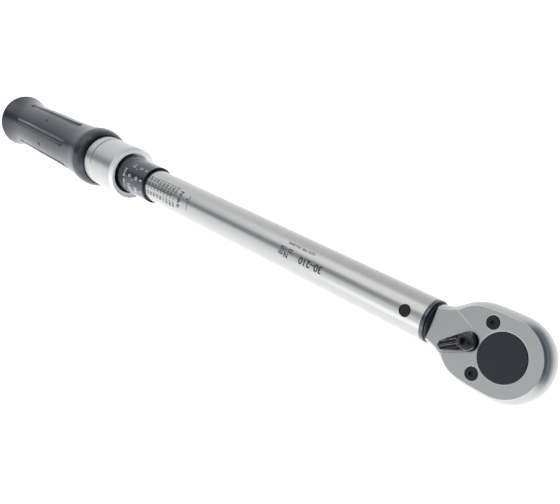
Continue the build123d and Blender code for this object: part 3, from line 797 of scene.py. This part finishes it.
# (x, radius), mm, front to back
GRIP_CURVE = [
    (-344.8, 22.0), (-348.5, 21.5), (-354.0, 20.6), (-361.9, 19.75), (-372.7, 19.0),
    (-384.0, 18.65), (-395.0, 18.5), (-407.0, 18.45), (-419.0, 18.3), (-431.3, 18.0),
    (-440.0, 17.85), (-446.5, 18.0), (-452.5, 18.6), (-458.0, 19.6), (-462.6, 20.75)]
NOSE_TOP = (-341.5, 21.75)
# the back end and bore, from the rim forwards
GRIP_INSIDE = [
    (-465.2, 18.9), (-465.2, 18.25), (-465.0, 18.1), (-464.8, 18.1), (-464.75, 17.9),
    (-464.95, 17.75), (-465.0, 17.15), (-464.9, 17.0), (-463.0, 17.0), (-463.0, CORE_R),
    (-346.0, CORE_R), (-346.0, 18.55), (-334.9, 18.55), (-334.55, 18.65)]
grip_skin = (
    arc_through((-334.4, 18.95), (-337.6, 20.85), NOSE_TOP, steps=14)[:-1]
    + arc_corner(NOSE_TOP, (-344.5, 22.05), GRIP_CURVE[1], fillet=0.7, steps=5)
    # the nose's fillet takes the place of the curve's first three stations
    + smooth_curve(GRIP_CURVE, step=0.55)[3:]
    + arc_through(GRIP_CURVE[-1], (-464.2, 21.0), (-465.2, 20.0), steps=10)[1:])

SCOOPS = 6
SCOOP_R = 3.0                              # radius of the ball-ended cutter
SCOOP_PATH_R = 20.0                        # its centre's distance from the tube axis
SCOOP_BACK, SCOOP_FRONT = -443.0, -368.5   # its centre's travel along x
SCOOP_BLEND = 0.22                         # softness of the scoop's edge
SCULPTED_BACK, SCULPTED_FRONT = -460, -346.5
RIB_ANGLE = math.radians(180 / SCOOPS)     # from a scoop's middle to the rib's
DENT_X = -403.0
DENT_HALF_WIDTH, DENT_HALF_LENGTH = 1.25, 1.9
DENT_SLANT = 0.5
DENT_DEPTH = 0.75
DENT_REACH = 1.6                           # where the dent fades out, in squared half sizes
MIN_EDGE_ANGLE = math.radians(1.0)


def past_scoop(x):
    """How far x lies beyond the travel of the cutter's centre."""
    return max(SCOOP_BACK - x, 0, x - SCOOP_FRONT)


def scoop_floor(x, angle):
    """Radius of the scoop's floor, or None where the scoop doesn't reach."""
    side = SCOOP_PATH_R ** 2 + past_scoop(x) ** 2 - SCOOP_R ** 2
    square = SCOOP_PATH_R ** 2 * math.cos(angle) ** 2 - side
    if square < 0:
        return None
    return SCOOP_PATH_R * math.cos(angle) - math.sqrt(square)


def scoop_half_angle(x, radius):
    """Angle at which the cutter meets this radius, or 0 where it doesn't."""
    side = radius * radius + SCOOP_PATH_R ** 2 + past_scoop(x) ** 2 - SCOOP_R ** 2
    cosine = side / (2 * radius * SCOOP_PATH_R)
    return math.acos(cosine) if cosine < 1 else 0.0


def soft_min(a, b, softness):
    h = max(softness - abs(a - b), 0) / softness
    return min(a, b) - h * h * softness * 0.25


def grip_radius(x, radius, angle):
    """angle: from the nearest scoop's middle."""
    floor = scoop_floor(x, angle)
    if floor is not None:
        radius = soft_min(radius, floor, SCOOP_BLEND)
    across = (RIB_ANGLE - abs(angle)) * radius
    q = ((across / DENT_HALF_WIDTH) ** 2
         + ((x - DENT_X + DENT_SLANT * across) / DENT_HALF_LENGTH) ** 2)
    if q < DENT_REACH:
        radius -= DENT_DEPTH * (1 - q / DENT_REACH) ** 0.7
    return radius


def half_sector(x, radius, sculpted):
    """Angles from a scoop's middle to the rib's, crowded at the scoop's edge."""
    edge = scoop_half_angle(x, radius) if sculpted else 0
    if edge == 0:
        # clear of the scoops the crowded angles ease out to an even spread
        clear = 1.0
        if sculpted:
            clear = min(max(past_scoop(x) - SCOOP_R, 0) / 6.0, 1.0)
        edge = math.radians(1.0 + 6.4 * clear)
    edge = max(edge, MIN_EDGE_ANGLE)
    margin = 0.3 / radius * 0.5
    angles = [edge * k / 9 for k in range(8)]
    angles += [max(edge - margin, edge * 0.93), edge, edge + margin]
    start = angles[-1]
    return angles + [start + (RIB_ANGLE - start) * k / 15 for k in range(1, 16)]


def grip_mesh():
    bm = bmesh.new()
    rings = []
    for i, (x, radius) in enumerate(grip_skin + GRIP_INSIDE):
        sculpted = i < len(grip_skin) and SCULPTED_BACK < x < SCULPTED_FRONT
        half = half_sector(x, radius, sculpted)
        ring = []
        for scoop in range(SCOOPS):
            middle = math.radians(90 + 360 // SCOOPS * scoop)
            for angle in [-a for a in reversed(half[1:])] + half[:-1]:
                r = grip_radius(x, radius, angle) if sculpted else radius
                ring.append(bm.verts.new(around(x, r, middle + angle)))
        rings.append(ring)
    stitch(bm, rings)
    return finish_mesh(bm, "grip_moulded")


grip = add_solid("grip_moulded", grip_mesh(), "handle", "grip_plastic", sharp_deg=50)
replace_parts(grip, "grip")

# ------------------------------------------------------------------ springs
SPRING_SHARP_DEG = 60
GROUND = 0.02            # how much is ground off each end of a spring


def spring(name, body, finish, replaces, start, end, radius, wire, turns, per_turn=44,
           sides=12, closed_turns=1.0):
    """Wire of radius wire swept along a helix from x = start to end, whose end turns close up
    and are ground flat."""
    steps = per_turn * turns
    length = abs(end - start) - 2 * wire
    closed_pitch = 2 * wire * 1.02
    pitch = (length - 2 * closed_turns * closed_pitch) / (turns - 2 * closed_turns)
    advance = [0.0]
    for i in range(steps):
        u = (i + 0.5) / per_turn
        k = min(u / closed_turns, (turns - u) / closed_turns, 1.0)
        k = k * k * (3 - 2 * k)
        advance.append(advance[-1] + (closed_pitch + (pitch - closed_pitch) * k) / per_turn)
    fit = length / advance[-1]
    advance = [x * fit for x in advance]

    direction = 1 if end > start else -1
    low, high = min(start, end) + GROUND, max(start, end) - GROUND
    bm = bmesh.new()
    rings = []
    for i, x in enumerate(advance):
        t = 2 * math.pi * i / per_turn
        outward = Vector((0, math.cos(t), math.sin(t)))
        centre = Vector((start + direction * (wire + x), *(outward * radius).yz))
        rise = direction * (advance[min(i + 1, steps)] - advance[max(i - 1, 0)])
        rise /= 2 * 2 * math.pi / per_turn
        tangent = Vector((rise, -math.sin(t) * radius, math.cos(t) * radius)).normalized()
        sideways = tangent.cross(outward).normalized()
        ring = []
        for k in range(sides):
            a = 2 * math.pi * k / sides
            p = centre + (outward * math.cos(a) + sideways * math.sin(a)) * wire
            x_ground = min(max(p.x, low), high)
            ring.append(bm.verts.new((x_ground * MM, p.y * MM, (p.z + AXIS_Z) * MM)))
        rings.append(ring)
    for a, b in zip(rings, rings[1:]):
        for k in range(sides):
            j = (k + 1) % sides
            bm.faces.new((a[k], a[j], b[j], b[k]))
    bm.faces.new(list(reversed(rings[0])))
    bm.faces.new(rings[-1])
    ob = add_solid(name, finish_mesh(bm, name), body, finish, SPRING_SHARP_DEG)
    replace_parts(ob, replaces)
    return ob


def halve(ob, name, body, finish, x):
    """Cuts ob at x metres; ob keeps what is behind and the new piece has the front."""
    front_mesh = ob.data.copy()
    for mesh, front in ((ob.data, False), (front_mesh, True)):
        bm = bmesh.new()
        bm.from_mesh(mesh)
        bmesh.ops.bisect_plane(bm, geom=bm.verts[:] + bm.edges[:] + bm.faces[:], dist=1e-7,
                               plane_co=(x, 0, 0), plane_no=(1, 0, 0),
                               clear_outer=not front, clear_inner=front)
        rim = [e for e in bm.edges if e.is_boundary]
        bmesh.ops.holes_fill(bm, edges=rim, sides=0)
        bmesh.ops.recalc_face_normals(bm, faces=bm.faces)
        bm.to_mesh(mesh)
        bm.free()
    front_piece = add_solid(name, front_mesh, body, finish, SPRING_SHARP_DEG)
    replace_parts(front_piece, *ob["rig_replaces"])
    return front_piece


def shorten(ob):
    """Gives a spring its own copy of its mesh."""
    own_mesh(ob)


# the main spring, in two lengths: the front one gives with the plunger at the click, the long
# one behind it shortens as the handle is wound in
MAIN_FRONT, MAIN_SPLIT, MAIN_BACK = -117.0, -147.0, -282.0
main_back = spring("main_spring_wound", "tube", "spring_dark", "main_spring",
                   start=MAIN_FRONT, end=MAIN_BACK, radius=6.9, wire=1.9, turns=22)
main_front = halve(main_back, "main_spring_front_coils", "tube", "spring_dark",
                   on_axis(MAIN_SPLIT)[0])
shorten(main_back)
shorten(main_front)

LOCK_BACK, LOCK_LENGTH = -330.98, 12.96
lock_spring = spring("lock_spring_wound", "handle", "spring_steel", "lock_spring",
                     start=LOCK_BACK, end=LOCK_BACK + LOCK_LENGTH, radius=14.35, wire=0.7,
                     turns=4, per_turn=72, sides=10, closed_turns=0.5)
shorten(lock_spring)

# ------------------------------------------------------------------ printed and etched marks
# thin closed slabs laid on the cylinders
MARK_RISE = 0.035        # top of a mark above the surface
MARK_SINK = 0.03         # its underside below the surface
BEND_STEP = 0.4          # width of the flat strips that follow the curve
CAP_HEIGHT = 0.70        # capital height per unit of font size


def text(line, height):
    """Flat outline of a centred line of text, height mm tall."""
    curve = bpy.data.curves.new("t", "FONT")
    curve.body = line
    curve.size = height / CAP_HEIGHT
    curve.align_x = "CENTER"
    curve.align_y = "CENTER"
    curve.resolution_u = 3
    curve.offset = 0.04 * height
    ob = bpy.data.objects.new("t", curve)
    SCENE.collection.objects.link(ob)
    depsgraph = bpy.context.evaluated_depsgraph_get()
    depsgraph.update()
    mesh = bpy.data.meshes.new_from_object(ob.evaluated_get(depsgraph))
    bpy.data.objects.remove(ob)
    bpy.data.curves.remove(curve)
    bm = bmesh.new()
    bm.from_mesh(mesh)
    bpy.data.meshes.remove(mesh)
    return bm


def bar(width, height):
    """Flat outline of a centred rectangle."""
    bm = bmesh.new()
    w, h = width / 2, height / 2
    bm.faces.new([bm.verts.new((x, y, 0)) for x, y in ((-w, -h), (w, -h), (w, h), (-w, h))])
    return bm


def lay(marks, bm, x, degrees, radius=TUBE_R, along=False):
    """Wraps a flat outline onto a cylinder as a closed slab, added to marks.

    The line runs round the tube with its tops towards +X; with along, it runs towards -X and
    its tops point the way the angle grows.
    """
    bm.verts.index_update()
    bent = 1 if along else 0       # the flat axis that goes round the tube
    across = (0, 1, 0) if along else (1, 0, 0)
    extent = [v.co[bent] for v in bm.verts]
    k = math.ceil(min(extent) / BEND_STEP)
    while k * BEND_STEP < max(extent):
        bmesh.ops.bisect_plane(bm, geom=list(bm.verts) + list(bm.edges) + list(bm.faces),
                               plane_co=[k * BEND_STEP * c for c in across], plane_no=across)
        k += 1
    bmesh.ops.triangulate(bm, faces=bm.faces)
    bmesh.ops.remove_doubles(bm, verts=bm.verts, dist=1e-4)

    top, bottom = {}, {}
    for v in bm.verts:
        place = x - v.co.x if along else x + v.co.y
        angle = math.radians(degrees) + v.co[bent] / radius
        top[v.index] = marks.verts.new(around(place, radius + MARK_RISE, angle))
        bottom[v.index] = marks.verts.new(around(place, radius - MARK_SINK, angle))
    bm.verts.index_update()
    # faces.new raises ValueError for a face that is already there or repeats a vertex
    for face in bm.faces:
        corners = [v.index for v in face.verts]
        try:
            marks.faces.new([top[i] for i in corners])
            marks.faces.new([bottom[i] for i in reversed(corners)])
        except ValueError:
            pass
    for edge in bm.edges:
        if len(edge.link_faces) == 1:
            a, b = (v.index for v in edge.verts)
            try:
                marks.faces.new((top[a], top[b], bottom[b], bottom[a]))
            except ValueError:
                pass
    bm.free()


def add_marks(name, marks, body, finish):
    loose = [v for v in marks.verts if not v.link_faces]
    bmesh.ops.delete(marks, geom=loose, context="VERTS")
    add_piece(name, finish_mesh(marks, name), body, finish)


def tube_scale():
    """Index line and two scales, one division per turn of the screw, with the capacity
    further forward."""
    marks = bmesh.new()
    degree = TUBE_R * math.radians(1)      # arc length of one degree
    lay(marks, bar(0.6, 28.5), -252.4, 92.0)
    for k in range(10):
        x = -267.2 + SCREW_PITCH * k
        newton_metres = 30 + 20 * k
        foot_pounds = round(newton_metres * 0.73756)
        lay(marks, bar(8.4 * degree, 0.62), x, 84.6)
        lay(marks, bar(6.6 * degree, 0.62), x, 98.4)
        lay(marks, text(str(newton_metres), 2.2), x, 66.0)
        lay(marks, text(str(foot_pounds), 2.0), x, 118.0)
    lay(marks, text("N·m", 3.1), -230.3, 82.0)
    lay(marks, text("ft·lb", 2.6), -230.3, 107.0)
    lay(marks, bar(TUBE_R * math.radians(52), 0.45), -221.5, 91.0)
    lay(marks, bar(TUBE_R * math.radians(5), 1.6), -223.3, 80.0)
    # (line, height, x, degrees)
    for line, height, x, degrees in (
            ("30–210", 4.0, -113.6, 93.0), ("N·m", 2.9, -134.0, 99.0),
            ("22–155", 2.2, -132.6, 82.0), ("CLICK TYPE  1/2 in DRIVE", 1.25, -123.6, 61.0)):
        lay(marks, text(line, height), x, degrees, along=True)
    add_marks("tube_scale", marks, "tube", "print_dark")


def thimble_scale():
    """Ten divisions round the thimble; the radii follow its taper."""
    marks = bmesh.new()
    second_row = (0, 15, 3, 45, 6, 75, 9, 105, 12, 135)
    for k in range(10):
        degrees = 92.0 - 36.0 * k
        lay(marks, bar(0.95, 2.8), -271.3, degrees, 12.76)
        lay(marks, text(str(2 * k), 3.1), -276.8, degrees, 12.81)
        lay(marks, bar(0.5, 1.5), -280.4, degrees + 9, 12.84)
        lay(marks, text(str(second_row[k]), 2.7), -284.6, degrees, 12.88)
        if k % 3 == 0:
            lay(marks, text("N·m", 2.4), -290.4, degrees - 4, 12.93)
    add_marks("thimble_scale", marks, "handle", "print_white")


tube_scale()
thimble_scale()
